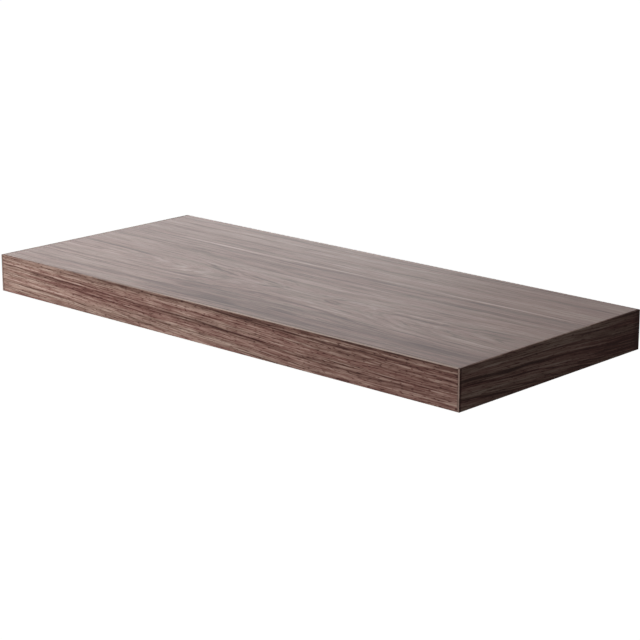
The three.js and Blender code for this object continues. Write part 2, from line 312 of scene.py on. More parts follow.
frontGrain = {
    "along": 0, "across": 2, "plane": 260, "seed": 7.9, "wander": (150, 12, 1.6),
    "specular": 0.04, "roughness": 0.55,
    "contrast": 1.0, "broad": (700, 15, 0.14), "bands": (420, 4.0, 0.12), "lines": (200, 1.0, 0.40),
    "fibres": (22, 0.75, 0.58), "late": (520, 3.4, 0.10), "pores": (6, 0.8, 0.44), "uneven": (60, 1.2),
    # How far the grain falls along the shelf, and the share of that fall by height
    "fall": [(-300, 0), (-200, 2.6), (-140, 5), (-100, 6.2), (0, 8.4), (60, 10), (120, 12.2), (200, 13.6),
             (300, 14)],
    "fallShares": [(-19, 1.45), (-4, 1.1), (3, 1), (19, 0.6)],
    # The first pair: where along the shelf the painted highlight on the upper arris starts, and where it is
    # full
    "paintedGlintFrom": (-240, 0), "redFrom": 100, "drawnShare": (0.54, 1.06),
    "drawn": [
        # The long dark line from the upper left, what borders it, and the lines under it
        (0.9, -0.42, [(-275, 8.6), (-240, 7.9), (-200, 6.8), (-160, 5.8), (-140, 5.0), (-120, 4.2),
                      (-60, 2.8), (-20, 2.2), (0, 1.2), (20, 0.1), (40, -0.6), (60, -1.1), (80, -2.0),
                      (115, -4.0)]),
        (1.2, -0.28, [(-45, 2.4), (0, 1.1), (20, 0.0), (40, -0.7), (60, -1.2), (80, -2.1), (112, -3.9)]),
        (0.6, -0.30, [(95, -3.2), (140, -4.6), (175, -4.1), (215, -4.4), (250, -4.9), (330, -4.5)]),
        (0.9, 0.16, [(-330, 11.5), (-280, 11.2), (-250, 10.2), (-200, 8.6), (-160, 7.0), (-100, 5.0)]),
        (0.5, -0.24, [(-330, 10.4), (-280, 9.9), (-225, 8.8)]),
        (3.0, -0.10, [(-270, 6.6), (-200, 4.8), (-140, 2.6), (-90, 0.7), (-40, 0.2), (40, -3.4)]),
        (0.7, -0.54, [(-250, 3.4), (-200, 2.5), (-180, 1.5), (-140, -0.5), (-100, -2.8), (-60, -5.0)]),
        (0.6, -0.18, [(-310, -1.2), (-240, -2.8), (-205, -3.3)]),
        # Lower left, where the grain falls out of the face
        (1.8, 0.14, [(-330, -3.8), (-240, -5.2), (-200, -6.4), (-150, -8.8), (-105, -10.2)]),
        (0.8, -0.32, [(-275, -7.9), (-230, -8.5), (-190, -10.3), (-155, -12.5), (-130, -14.0),
                      (-105, -16.8)]),
        (2.4, -0.18, [(-140, -14.2), (-80, -17.8)]),
        (1.5, 0.13, [(-330, -10.0), (-250, -10.6), (-200, -12.4), (-160, -14.6), (-115, -18.0)]),
        (0.9, -0.38, [(-134, -8.2), (-112, -10.8), (-95, -12.4), (-75, -14.2), (-60, -15.6), (-42, -16.6)]),
        (1.6, 0.13, [(-134, -10.4), (-100, -13.8), (-80, -16.0), (-50, -19.0)]),
        (1.4, 0.16, [(-85, -4.8), (-45, -6.2), (-25, -8.0), (0, -10.2), (30, -13.0), (55, -16.6)]),
        (0.9, -0.22, [(-50, -10.8), (-15, -13.4), (0, -15.5), (20, -19.5)]),
        (4.0, 0.15, [(-80, -16.0), (0, -13.5), (35, -14.5), (90, -18.0)]),
        (1.5, -0.14, [(20, -9.4), (45, -13.0), (70, -16.0)]),
        # Lower right, where it rises a little
        (1.1, 0.16, [(45, -11.6), (85, -14.0), (120, -15.4), (160, -14.6), (250, -13.8)]),
        (0.6, -0.28, [(190, -11.0), (235, -11.5), (270, -11.0), (310, -10.0)]),
        # Top
        (1.2, 0.18, [(-330, 14.0), (-240, 14.0), (-150, 12.6), (-80, 12.0), (0, 11.6), (65, 10.4)]),
        (0.6, -0.18, [(-70, 10.2), (0, 9.6), (50, 9.2), (100, 8.3)]),
        (1.2, -0.30, [(-20, 15.5), (20, 14.9), (50, 14.4), (75, 13.2), (95, 12.6), (150, 12.3), (200, 12.1),
                      (250, 11.7), (330, 11.5)]),
        (0.8, 0.26, [(65, 14.9), (140, 14.4), (220, 14.2), (330, 13.4)]),
        (0.6, -0.18, [(70, 9.6), (130, 7.2), (185, 6.3)]),
        (0.6, 0.13, [(90, 9.7), (170, 8.4), (225, 7.9)]),
        (0.6, -0.32, [(205, 5.6), (250, 5.6), (300, 5.8), (330, 5.9)]),
        (0.5, 0.14, [(160, 3.9), (220, 4.3), (285, 4.2)]),
        (0.6, -0.17, [(130, 2.8), (200, 2.2), (285, 2.6)]),
        (0.8, -0.15, [(-330, -18.0), (-220, -18.2), (-140, -18.6)]),
        # Broad shades; the first two, along the top under the upper arris, are painted shade
        (1.7, -0.20, [(-220, 18.2), (-150, 17.4), (-80, 16.8), (0, 17.0), (90, 17.4), (330, 17.6)]),
        (5.0, -0.11, [(-10, 15.0), (330, 14.0)]), (5.0, -0.12, [(-230, 13.0), (-70, 11.5)]),
        (6.0, -0.12, [(150, 12.0), (380, 12.0)]),
        (6.0, -0.08, [(90, -8.0), (330, -9.0)]), (3.0, -0.12, [(80, -17.5), (360, -17.0)]),
    ],
}
# The ends: calmer, with a dark line from corner to corner and darker along their back edge. Painted shade
# darkens them towards the back, low down towards the back, and in a strip beside the front corner
endGrain = {
    **frontGrain, "along": 1, "plane": 300, "seed": 21.4, "contrast": 1.3, "broad": (400, 12, 0.24),
    "fibres": (30, 0.8, 0.44), "pores": (7, 0.8, 0.26),
    "fall": [(-260, 0), (-215, 2.2), (-190, 3.6), (-130, 5.8), (-90, 8), (-60, 10), (0, 12)],
    "paintedGlintFrom": None, "redFrom": None, "drawnShare": walnut["drawnShare"],
    "drawn": [
        (1.4, -0.55, [(-300, 8.4), (-240, 6.3), (-220, 5.0), (-190, 3.5), (-160, 2.6), (-130, 1.2),
                      (-110, 0.0), (-90, -1.0), (-60, -3.2), (-35, -3.9), (20, -4.2)]),
        (0.7, -0.30, [(-280, 4.2), (-240, 3.2), (-200, 2.2), (-160, 0.9)]),
        (0.9, -0.50, [(-290, 3.4), (-240, 1.6), (-225, 0.4), (-205, -1.6), (-190, -2.9), (-165, -3.8),
                      (-140, -6.4), (-120, -9.4), (-95, -12.8)]),
        (0.9, -0.40, [(-285, -8.0), (-240, -10.6), (-220, -12.7), (-200, -14.2), (-180, -17.5)]),
        (0.8, -0.36, [(-235, -7.6), (-200, -10.0), (-180, -12.0), (-165, -13.9), (-145, -17.2)]),
        (0.8, -0.30, [(-152, -10.2), (-140, -12.0), (-128, -14.8), (-115, -18.2)]),
        (1.0, 0.20, [(-280, -6.0), (-235, -7.0), (-200, -8.4), (-165, -11.6), (-140, -15.0)]),
        (1.1, 0.22, [(-290, 13.6), (-230, 12.9), (-200, 12.5), (-160, 11.5), (-100, 9.5), (-65, 8.2)]),
        (0.7, -0.24, [(-215, 11.2), (-160, 10.2), (-110, 8.6), (-70, 6.6), (-40, 5.4)]),
        (0.8, -0.50, [(-120, 14.6), (-90, 13.4), (-60, 12.3), (-20, 11.8), (30, 11.6)]),
        (0.7, 0.22, [(-110, 15.6), (-80, 14.4), (-50, 13.4), (20, 13.0)]),
        # Painted shade: the broad darkening towards the back (40, -0.16), the dark bands low towards the back
        # (7.0, -0.24 and 5.0, -0.2) and the dark strip beside the front corner (40, -0.6)
        (3.4, -0.10, [(-310, 16.5), (-200, 16.5), (-100, 17.5)]), (40, -0.16, [(-95, 0), (95, 0)]),
        (7.0, -0.24, [(-135, -10), (-70, -9), (60, -8)]),
        (40, -0.6, [(-262, 0), (-257, 0)]), (40, -0.4, [(-12, 0), (20, 0)]),
        (5.0, -0.2, [(-150, -19), (-80, -16), (20, -13)]), (7.0, 0.18, [(-290, -14), (-212, -15)]),
    ],
}


# Streaks of noise, each about so long and so wide
def streakNoise(tree, point, size, seed, detail=1.5):
    scale = (1 / size[0], 1 / size[1], 1)
    placed = addNode(tree, "Mapping", {"Vector": point, "Location": (seed, seed * 1.7, seed), "Scale": scale})
    noise = addNode(tree, "TexNoise", {"Vector": placed, "Scale": 1.0, "Detail": detail})
    return noise.outputs["Fac"]


# Adds to the tone a soft line along a curve, fading out at both of its ends
def drawLine(tree, along, across, uneven, tone, line):
    halfWidth, strength, path = line
    half = (path[-1][0] - path[0][0]) / 2
    faded = half - min(walnut["lineEnds"][0], walnut["lineEnds"][1] * half)
    middle = addNode(tree, "FloatCurve", {"Value": along}, points=path)
    off = addNode(tree, "Math", {0: across, 1: middle}, operation="SUBTRACT")
    off = addNode(tree, "Math", {0: off}, operation="ABSOLUTE")
    soft = addNode(tree, "MapRange", {"Value": off, 1: 0.0, 2: halfWidth * walnut["lineFade"],
                                      3: strength, 4: 0.0}, interpolation_type="SMOOTHSTEP")
    reach = addNode(tree, "Math", {0: along, 1: path[0][0] + half}, operation="SUBTRACT")
    reach = addNode(tree, "Math", {0: reach}, operation="ABSOLUTE")
    shown = addNode(tree, "MapRange", {"Value": reach, 1: half, 2: faded}, interpolation_type="SMOOTHSTEP")
    shown = addNode(tree, "Math", {0: shown, 1: uneven}, operation="MULTIPLY")
    return addNode(tree, "Math", {0: soft, 1: shown, 2: tone}, operation="MULTIPLY_ADD")


def walnutMaterial(name, grain):
    material, tree = newMaterial(name)
    seed, contrast = grain["seed"], grain["contrast"]
    place = addNode(tree, "TexCoord", {}).outputs["Object"]
    millimetres = addNode(tree, "VectorMath", {0: place, "Scale": 1 / mm}, operation="SCALE")
    axes = addNode(tree, "SeparateXYZ", {0: millimetres}).outputs
    along, across = axes[grain["along"]], axes[grain["across"]]
    depthAxis = axes[3 - grain["along"] - grain["across"]]
    flat = addNode(tree, "CombineXYZ", {0: along, 1: across})
    # The lines wander a little, and lean slightly through the thickness
    wander = streakNoise(tree, flat, grain["wander"], seed + 4.2)
    moved = addNode(tree, "Math", {0: wander, 1: grain["wander"][2], 2: across}, operation="MULTIPLY_ADD")
    moved = addNode(tree, "Math", {0: moved, 1: grain["wander"][2] / 2}, operation="SUBTRACT")
    depth = addNode(tree, "Math", {0: depthAxis}, operation="ABSOLUTE")
    depth = addNode(tree, "Math", {0: depth, 1: grain["plane"]}, operation="SUBTRACT")
    moved = addNode(tree, "Math", {0: depth, 1: walnut["askew"], 2: moved}, operation="MULTIPLY_ADD")
    drawnAcross = moved
    if "fall" in grain:
        ragged = streakNoise(tree, flat, walnut["ragged"], seed + 6.6)
        ragged = addNode(tree, "Math", {0: ragged, 1: 0.5}, operation="SUBTRACT")
        drawnAcross = addNode(tree, "Math", {0: ragged, 1: walnut["ragged"][2], 2: across},
                              operation="MULTIPLY_ADD")
        fall = addNode(tree, "FloatCurve", {"Value": along}, points=grain["fall"])
        share = addNode(tree, "FloatCurve", {"Value": across}, points=grain["fallShares"])
        moved = addNode(tree, "Math", {0: fall, 1: share, 2: moved}, operation="MULTIPLY_ADD")
    ring, third = moved, 0.0
    if "heart" in grain:
        heart = grain["heart"]
        offAlong = addNode(tree, "Math", {0: along, 1: heart["along"]}, operation="SUBTRACT")
        offAlong = addNode(tree, "Math", {0: offAlong}, operation="ABSOLUTE")
        depth = addNode(tree, "MapRange", {"Value": offAlong, 1: 0.0, 2: heart["reach"],
                                           3: heart["depth"], 4: 0.0}, interpolation_type="SMOOTHSTEP")
        fromHeart = addNode(tree, "Math", {0: moved, 1: heart["across"]}, operation="SUBTRACT")
        both = addNode(tree, "CombineXYZ", {0: fromHeart, 1: depth})
        ring = addNode(tree, "VectorMath", {0: both}, operation="LENGTH").outputs["Value"]
        third = addNode(tree, "Math", {0: fromHeart, 1: 1 / walnut["heartSpread"]}, operation="MULTIPLY")
        ragged = streakNoise(tree, flat, walnut["heartRagged"], seed + 6.6)
        ragged = addNode(tree, "Math", {0: ragged, 1: 0.5}, operation="SUBTRACT")
        ring = addNode(tree, "Math", {0: ragged, 1: walnut["heartRagged"][2], 2: ring},
                       operation="MULTIPLY_ADD")
    rings = addNode(tree, "CombineXYZ", {0: along, 1: ring, 2: third})
    fibres = addNode(tree, "CombineXYZ", {0: along, 1: moved})
    tone = walnut["tone"]
    layers = (("broad", rings, 1.0), ("bands", rings, 2.0), ("lines", rings, 2.0), ("fibres", fibres, 1.5))
    for i, (layer, point, detail) in enumerate(layers):
        size = grain.get(layer, walnut[layer])
        noise = streakNoise(tree, point, size, seed + 1.3 * i, detail)
        centred = addNode(tree, "Math", {0: noise, 1: 0.5}, operation="SUBTRACT")
        tone = addNode(tree, "Math", {0: centred, 1: 2 * size[2] * contrast, 2: tone},
                       operation="MULTIPLY_ADD")
    # Thin dark lines of late wood, and pores
    size = grain.get("late", walnut["late"])
    late = streakNoise(tree, rings, size, seed + 8.8, 2.5)
    start, full = walnut["lateRange"]
    late = addNode(tree, "MapRange", {"Value": late, 1: start, 2: full, 3: 0.0, 4: size[2] * contrast},
                   interpolation_type="SMOOTHSTEP")
    tone = addNode(tree, "Math", {0: tone, 1: late}, operation="SUBTRACT")
    size = grain.get("pores", walnut["pores"])
    pores = streakNoise(tree, fibres, size, seed + 12.1, 1.0)
    start, full = walnut["poreRange"]
    pores = addNode(tree, "MapRange", {"Value": pores, 1: start, 2: full, 3: 0.0, 4: size[2] * contrast},
                    interpolation_type="SMOOTHSTEP")
    tone = addNode(tree, "Math", {0: tone, 1: pores}, operation="SUBTRACT")
    # The drawn lines are uneven along their way, as pores and fibres break them up
    uneven = streakNoise(tree, flat, grain["uneven"], seed + 19.9, 2.0)
    start, full = walnut["unevenRange"]
    least, most = grain.get("drawnShare", walnut["drawnShare"])
    uneven = addNode(tree, "MapRange", {"Value": uneven, 1: start, 2: full, 3: least, 4: most})
    for line in grain["drawn"]:
        tone = drawLine(tree, along, drawnAcross, uneven, tone, line)
    brown = addNode(tree, "ValToRGB", {"Fac": tone}, stops=walnut["tones"])
    red = addNode(tree, "ValToRGB", {"Fac": tone}, stops=walnut["redTones"])
    redness = streakNoise(tree, rings, walnut["redness"], seed + 16.4)
    start, full = walnut["redRange"]
    redness = addNode(tree, "MapRange", {"Value": redness, 1: start, 2: full},
                      interpolation_type="SMOOTHSTEP")
    start, full, least = walnut["redTop"]
    low = addNode(tree, "MapRange", {"Value": across, 1: start, 2: full, 3: least, 4: 1.0})
    if grain.get("redFrom") is not None:
        full, most = walnut["redRight"]
        right = addNode(tree, "MapRange", {"Value": along, 1: grain["redFrom"], 2: full, 3: 0.0, 4: most})
        redness = addNode(tree, "Math", {0: redness, 1: right}, operation="MAXIMUM")
    redness = addNode(tree, "Math", {0: redness, 1: low}, operation="MULTIPLY")
    colour = addNode(tree, "Mix", {0: redness, 6: brown, 7: red}, data_type="RGBA").outputs[2]
    if grain.get("paintedGlintFrom") is not None:
        # Painted highlight: the upper arris is made pale, more and more towards the right, in place of the
        # glint of its lacquer
        start, full = walnut["paintedGlintHeight"]
        paintedHighlight = addNode(tree, "MapRange", {"Value": across, 1: start, 2: full})
        start, full = grain["paintedGlintFrom"]
        grows = addNode(tree, "MapRange", {"Value": along, 1: start, 2: full})
        paintedHighlight = addNode(tree, "Math", {0: paintedHighlight, 1: grows}, operation="MULTIPLY")
        colour = addNode(tree, "Mix", {0: paintedHighlight, 6: colour, 7: fromHex(walnut["paintedArrisGlint"])},
                         data_type="RGBA").outputs[2]
    rougher, smoother = [grain["roughness"] + span for span in walnut["roughSpan"]]
    rough = addNode(tree, "MapRange", {"Value": tone, 1: 0.0, 2: 1.0, 3: rougher, 4: smoother})
    relief = addNode(tree, "Math", {0: tone, 1: pores}, operation="SUBTRACT")
    finishMaterial(tree, colour, rough, relief, walnut["bump"], specular=grain["specular"])
    return material


# The cut ends of the end bands, which show as a thin strip at each end of the front: sanded end grain,
# paler and plainer than the faces, with only fine speckles
cutEdge = {
    "tones": [(0.35, "#7a655d"), (0.62, "#8e776e")], "speck": 0.7, "roughness": 0.55, "specular": 0.06,
    "arris": "#907d75", "paintedHighlightFrom": (299.3, 299.7),  # sanded round, and painted a little paler there as a highlight
}


def cutEdgeMaterial():
    material, tree = newMaterial("walnut end grain, sanded")
    place = addNode(tree, "TexCoord", {}).outputs["Object"]
    speck = addNode(tree, "TexNoise", {"Vector": place, "Scale": 1 / (cutEdge["speck"] * mm), "Detail": 2.0})
    colour = addNode(tree, "ValToRGB", {"Fac": speck.outputs["Fac"]}, stops=cutEdge["tones"])
    side = addNode(tree, "SeparateXYZ", {0: place})
    side = addNode(tree, "Math", {0: side}, operation="ABSOLUTE")
    # Painted highlight: paler on the rounded arris towards the end face
    start, full = cutEdge["paintedHighlightFrom"]
    paintedHighlight = addNode(tree, "MapRange", {"Value": side, 1: start * mm, 2: full * mm})
    colour = addNode(tree, "Mix", {0: paintedHighlight, 6: colour, 7: fromHex(cutEdge["arris"])}, data_type="RGBA")
    finishMaterial(tree, colour.outputs[2], cutEdge["roughness"], specular=cutEdge["specular"])
    return material


# Hardboard: wood fibres pressed hot into a dense brown sheet, smooth, dull and mottled by its fibres
hardboard = {
    "tones": [(0.34, "#5c4330"), (0.5, "#7b5c42"), (0.66, "#94755a")], "fibre": 0.9, "twist": 1.6,
    "mottle": 7.0, "shares": (0.65, 0.35), "roughness": 0.82, "specular": 0.35, "bump": (0.35, 0.1),
}
# Kraft paper: unbleached, dull, with long fibres pressed flat and a few darker flecks
kraftPaper = {
    "tones": [(0.30, "#8d6d4b"), (0.44, "#b08d64"), (0.66, "#c4a37a")], "fibre": 1.4, "twist": 2.2,
    "roughness": 0.9, "specular": 0.3, "bump": (0.3, 0.05),
}


def fibreMaterial(name, sheet):
    material, tree = newMaterial(name)
    place = addNode(tree, "TexCoord", {}).outputs["Object"]
    fibre = addNode(tree, "TexNoise", {"Vector": place, "Scale": 1 / (sheet["fibre"] * mm), "Detail": 4.0,
                                       "Distortion": sheet["twist"]}).outputs["Fac"]
    tone = fibre
    if "mottle" in sheet:
        mottle = addNode(tree, "TexNoise", {"Vector": place, "Scale": 1 / (sheet["mottle"] * mm),
                                            "Detail": 3.0})
        tone = addNode(tree, "Math", {0: fibre, 1: sheet["shares"][0]}, operation="MULTIPLY")
        tone = addNode(tree, "Math", {0: mottle.outputs["Fac"], 1: sheet["shares"][1], 2: tone},
                       operation="MULTIPLY_ADD")
    colour = addNode(tree, "ValToRGB", {"Fac": tone}, stops=sheet["tones"])
    finishMaterial(tree, colour, sheet["roughness"], fibre, sheet["bump"], specular=sheet["specular"])
    return material


# Pine: planed softwood. Year rings about a heart outside the piece make broad pale bands with a thin
# amber line each, straight along the piece and curved on its sawn ends.
pine = {
    # From one year's early wood to its late wood
    "tones": [(0.10, "#cfa873"), (0.25, "#dcc096"), (0.62, "#dcc096"), (0.92, "#cfa873"), (1.0, "#a9763f")],
    "ring": 3.4, "heart": (38, 61),
    "waver": 14.0, "waverScale": 0.035, "waverStretch": 160,  # how far rings wander, how often, how drawn out
    "fibre": (2.2, 14), "fibreShare": 0.30,  # so many fibres in a mm of width, each so many mm long
    "roughness": 0.62, "specular": 0.4, "bump": (0.25, 0.1),
}


def pineMaterial(name, along, seed):
    material, tree = newMaterial(name)
    place = addNode(tree, "TexCoord", {}).outputs["Object"]
    place = addNode(tree, "VectorMath", {0: place, "Scale": 1 / mm}, operation="SCALE")
    axes = addNode(tree, "SeparateXYZ", {0: place}).outputs
    acrossOne, acrossTwo = [axes[i] for i in range(3) if i != along]
    length = addNode(tree, "Math", {0: axes[along], 1: 1 / pine["waverStretch"]}, operation="MULTIPLY")
    section = addNode(tree, "CombineXYZ", {0: acrossOne, 1: acrossTwo})
    moved = addNode(tree, "CombineXYZ", {0: acrossOne, 1: acrossTwo, 2: length})
    waver = addNode(tree, "TexNoise", {"Vector": moved, "Scale": pine["waverScale"], "Detail": 2.0})
    centre = (pine["heart"][0] + seed, -pine["heart"][1], 0)
    heart = addNode(tree, "VectorMath", {0: section, 1: centre}, operation="SUBTRACT")
    radius = addNode(tree, "VectorMath", {0: heart}, operation="LENGTH").outputs["Value"]
    radius = addNode(tree, "Math", {0: waver.outputs["Fac"], 1: pine["waver"], 2: radius},
                     operation="MULTIPLY_ADD")
    year = addNode(tree, "Math", {0: radius, 1: pine["ring"]}, operation="DIVIDE")
    year = addNode(tree, "Math", {0: year}, operation="FRACT")
    fine, long = pine["fibre"]
    fibre = addNode(tree, "CombineXYZ", {0: acrossOne, 1: acrossTwo, 2: axes[along]})
    fibre = addNode(tree, "Mapping", {"Vector": fibre, "Scale": (fine, fine, 1 / long)})
    fibre = addNode(tree, "TexNoise", {"Vector": fibre, "Scale": 1.0, "Detail": 3.0})
    tone = addNode(tree, "Math", {0: fibre.outputs["Fac"], 1: pine["fibreShare"], 2: year},
                   operation="MULTIPLY_ADD")
    colour = addNode(tree, "ValToRGB", {"Fac": tone}, stops=pine["tones"])
    finishMaterial(tree, colour, pine["roughness"], fibre.outputs["Fac"], pine["bump"],
                   specular=pine["specular"])
    return material


# Metals: a worked surface is fine scratches or lathe marks along one way, over faint cloudy stains
worked = {"marksShare": 0.4, "cloudShare": 0.6, "cloudRange": (0.3, 0.7), "bump": (0.4, 0.02)}
zincSteel = {  # drawn steel, bright zinc plated: cool grey, a little blue, with faint cloudy passivation
    "tones": [(0.32, "#9ba1a6"), (0.68, "#bfc4c8")], "marks": (60, 0.25), "cloud": 13.0, "metal": 0.75,
    "roughness": (0.33, 0.44),
}
blackSteel = {  # black oxide over turned steel: near black, oily, brown where it is handled
    "tones": [(0.32, "#1d1d1f"), (0.68, "#34322f")], "marks": (8, 0.3), "cloud": 2.5, "metal": 1.0,
    "roughness": (0.32, 0.5),
}
turnedBrass = {  # brass from the lathe: yellow, bright on the crests, duller in the thread
    "tones": [(0.32, "#8f7136"), (0.68, "#cbaa5c")], "marks": (8, 0.3), "cloud": 3.0, "metal": 1.0,
    "roughness": (0.24, 0.42),
}


def metalMaterial(name, metal, along):
    material, tree = newMaterial(name)
    place = addNode(tree, "TexCoord", {}).outputs["Object"]
    length, width = metal["marks"]
    scale = [1 / (width * mm)] * 3
    scale[along] = 1 / (length * mm)
    marks = addNode(tree, "Mapping", {"Vector": place, "Scale": scale})
    marks = addNode(tree, "TexNoise", {"Vector": marks, "Scale": 1.0, "Detail": 3.0})
    cloud = addNode(tree, "TexNoise", {"Vector": place, "Scale": 1 / (metal["cloud"] * mm), "Detail": 3.0})
    both = addNode(tree, "Math", {0: marks.outputs["Fac"], 1: worked["marksShare"]}, operation="MULTIPLY")
    both = addNode(tree, "Math", {0: cloud.outputs["Fac"], 1: worked["cloudShare"], 2: both},
                   operation="MULTIPLY_ADD")
    colour = addNode(tree, "ValToRGB", {"Fac": both}, stops=metal["tones"])
    start, full = worked["cloudRange"]
    rough = addNode(tree, "MapRange", {"Value": cloud.outputs["Fac"], 1: start, 2: full,
                                       3: metal["roughness"][0], 4: metal["roughness"][1]})
    finishMaterial(tree, colour, rough, marks.outputs["Fac"], worked["bump"], metal=metal["metal"])
    return material


materials = {
    "top": walnutMaterial("walnut veneer, satin lacquer, top", topGrain),
    "under": walnutMaterial("walnut veneer, satin lacquer, underside", underGrain),
    "front": walnutMaterial("walnut edging, front", frontGrain),
    "end": walnutMaterial("walnut edging, ends", endGrain),
    "cut": cutEdgeMaterial(),
    "hardboard": fibreMaterial("hardboard, pressed wood fibre", hardboard),
    "pineAcross": pineMaterial("pine, planed, grain along the shelf", 0, 0),
    "pineDeep": pineMaterial("pine, planed, grain to the wall", 1, 17),
    "kraft": fibreMaterial("kraft paper, unbleached", kraftPaper),
    "zincBar": metalMaterial("steel, drawn flat bar, zinc plated", zincSteel, 0),
    "zincRod": metalMaterial("steel, drawn round bar, zinc plated", zincSteel, 1),
    "blackSteel": metalMaterial("steel, turned, black oxide", blackSteel, 0),
    "brass": metalMaterial("brass, turned", turnedBrass, 0),
}
print("materials made:", len(materials))


# Modelling, as by hand: a primitive, edit mode operators, and modifiers that are applied
shaping = {
    "near": 0.1,  # a corner this close to a face, in mm, counts as on it
    "beyond": 2,  # a drill starts and ends this far outside the piece
    "sides": 64,  # of what is turned
    "screwSides": 48,
    "smoothAngle": 32,
    "thread": (0.12, 0.46, 0.58, 0.92),  # in each turn: it rises, has its crest between two, and is down
}


def settle(name):
    obj = bpy.context.active_object
    obj.name = obj.data.name = name
    bpy.ops.object.transform_apply(location=True, rotation=True, scale=True)
    return obj


def onlyActive(obj):
    bpy.ops.object.select_all(action="DESELECT")
    obj.select_set(True)
    bpy.context.view_layer.objects.active = obj


def startEdit(obj):
    onlyActive(obj)
    bpy.ops.object.mode_set(mode="EDIT")


def endEdit():
    bpy.ops.object.mode_set(mode="OBJECT")


def startBox(name, low, high):
    bpy.ops.object.select_all(action="DESELECT")
    bpy.ops.mesh.primitive_cube_add(size=1, location=(low + high) / 2, scale=high - low)
    return settle(name)


# Selects in edit mode the faces, edges or corners that pass a test
def pick(obj, kind, test):
    bpy.ops.mesh.select_mode(type=kind)
    bpy.ops.mesh.select_all(action="DESELECT")
    mesh = bmesh.from_edit_mesh(obj.data)
    for part in {"FACE": mesh.faces, "EDGE": mesh.edges, "VERT": mesh.verts}[kind]:
        if test(part):
            part.select_set(True)
    mesh.select_flush_mode()
    bmesh.update_edit_mesh(obj.data)


# Rounds the edges whose two ends both pass the test
def roundEdges(obj, width, steps, test=lambda point: True):
    startEdit(obj)
    pick(obj, "EDGE", lambda edge: all(test(corner.co / mm) for corner in edge.verts))
    bpy.ops.mesh.bevel(offset=width * mm, segments=steps, profile=0.5, affect="EDGES")
    endEdit()
    return obj


# Turns a piece about an axis: a disc is extruded and scaled through steps of [radius, place]. An open
# one starts as a ring and ends where it began.
def turnPiece(name, centre, axis, steps, sides=shaping["sides"], openRing=False, spun=0.0):
    def at(place):
        point = list(centre)
        point["XYZ".index(axis)] = place
        return Vector(point) * mm

    bpy.ops.object.select_all(action="DESELECT")
    radius, place = steps[0]
    stand = (math.pi / 2, spun, 0) if axis == "Y" else (0, 0, spun)
    bpy.ops.mesh.primitive_circle_add(vertices=sides, radius=radius * mm, location=at(place), rotation=stand,
                                      fill_type="NOTHING" if openRing else "NGON")
    obj = settle(name)
    startEdit(obj)
    bpy.ops.mesh.select_mode(type="EDGE" if openRing else "FACE")
    bpy.ops.mesh.select_all(action="SELECT")
    for nextRadius, nextPlace in steps[1:]:
        bpy.ops.mesh.extrude_region_move(TRANSFORM_OT_translate={"value": at(nextPlace) - at(place)})
        ratio = nextRadius / radius
        bpy.ops.transform.resize(value=(ratio, ratio, ratio), center_override=at(nextPlace))
        radius, place = nextRadius, nextPlace
    bpy.ops.mesh.select_all(action="SELECT")
    if openRing:
        bpy.ops.mesh.remove_doubles(threshold=0.001 * mm)
    bpy.ops.mesh.normals_make_consistent(inside=False)
    endEdit()
    return obj


# Steps of a thread drawn as rings between two places
def threadSteps(start, stop, root, crest, pitch):
    turns = int(abs(stop - start) / pitch)
    way = math.copysign(pitch, stop - start)
    steps = []
    for i in range(turns):
        rise, crestStart, crestEnd, down = [start + (i + share) * way for share in shaping["thread"]]
        steps += [(root, rise), (crest, crestStart), (crest, crestEnd), (root, down)]
    return steps


def cutAway(obj, tool):
    cut = obj.modifiers.new("cut", "BOOLEAN")
    cut.operation, cut.solver, cut.object = "DIFFERENCE", "EXACT", tool
    onlyActive(obj)
    bpy.ops.object.modifier_apply(modifier=cut.name)
    bpy.data.objects.remove(tool)


def keySocket(centre, axis, width, low, high):
    corner = width / math.sqrt(3)
    return turnPiece("keySocket", centre, axis, [(corner, low), (corner, high)], sides=6)


# Even shading on flat faces, then the body and node that the piece has in the model
def dress(obj, material, body, node):
    onlyActive(obj)
    bpy.ops.object.shade_smooth_by_angle(angle=math.radians(shaping["smoothAngle"]))
    even = obj.modifiers.new("evenShading", "WEIGHTED_NORMAL")
    even.keep_sharp = True
    bpy.ops.object.modifier_apply(modifier=even.name)
    if not obj.data.materials:
        obj.data.materials.append(materials[material])
    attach(obj, body)
    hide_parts(node)


def copyPiece(obj, name, shift):
    onlyActive(obj)
    bpy.ops.object.duplicate(linked=False)
    bpy.ops.transform.translate(value=Vector(shift) * mm)
    return settle(name)


def mirrorPiece(obj, name):
    onlyActive(obj)
    bpy.ops.object.duplicate(linked=False)
    bpy.context.active_object.scale.x = -1
    twin = settle(name)
    startEdit(twin)
    bpy.ops.mesh.select_all(action="SELECT")
    bpy.ops.mesh.normals_make_consistent(inside=False)
    endEdit()
    return twin


# Edging: 2 mm bands, their outer arrises sanded round
bands = {"arris": 0.6, "steps": 5, "cutFacing": -0.72}  # faces turned further forward than that are cut ends


def makeBands():
    near = shaping["near"]
    low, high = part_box("front_band")
    front = roundEdges(startBox("frontBand", low, high), bands["arris"], bands["steps"],
                       lambda p: p.y < low.y / mm + near)
    low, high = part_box("right_band")
    outer, nose = high.x / mm - near, low.y / mm + near
    right = startBox("rightBand", low, high)
    startEdit(right)
    # The outer arrises but for the one at the wall, and the upper and lower ones of the cut end
    pick(right, "EDGE", lambda edge: all(v.co.x / mm > outer for v in edge.verts)
         and not all(v.co.y / mm > -near for v in edge.verts)
         or all(v.co.y / mm < nose for v in edge.verts) and abs(edge.verts[0].co.z - edge.verts[1].co.z) < mm)
    bpy.ops.mesh.bevel(offset=bands["arris"] * mm, segments=bands["steps"], profile=0.5, affect="EDGES")
    right.data.materials.append(materials["end"])
    right.data.materials.append(materials["cut"])
    pick(right, "FACE", lambda face: face.normal.y < bands["cutFacing"])
    right.active_material_index = 1
    bpy.ops.object.material_slot_assign()
    endEdit()
    left = mirrorPiece(right, "leftBand")
    for piece, material, node in ((front, "front", "front_band"), (left, "end", "left_band"),
                                  (right, "end", "right_band")):
        dress(piece, material, "board", node)


makeBands()
print("edging made")

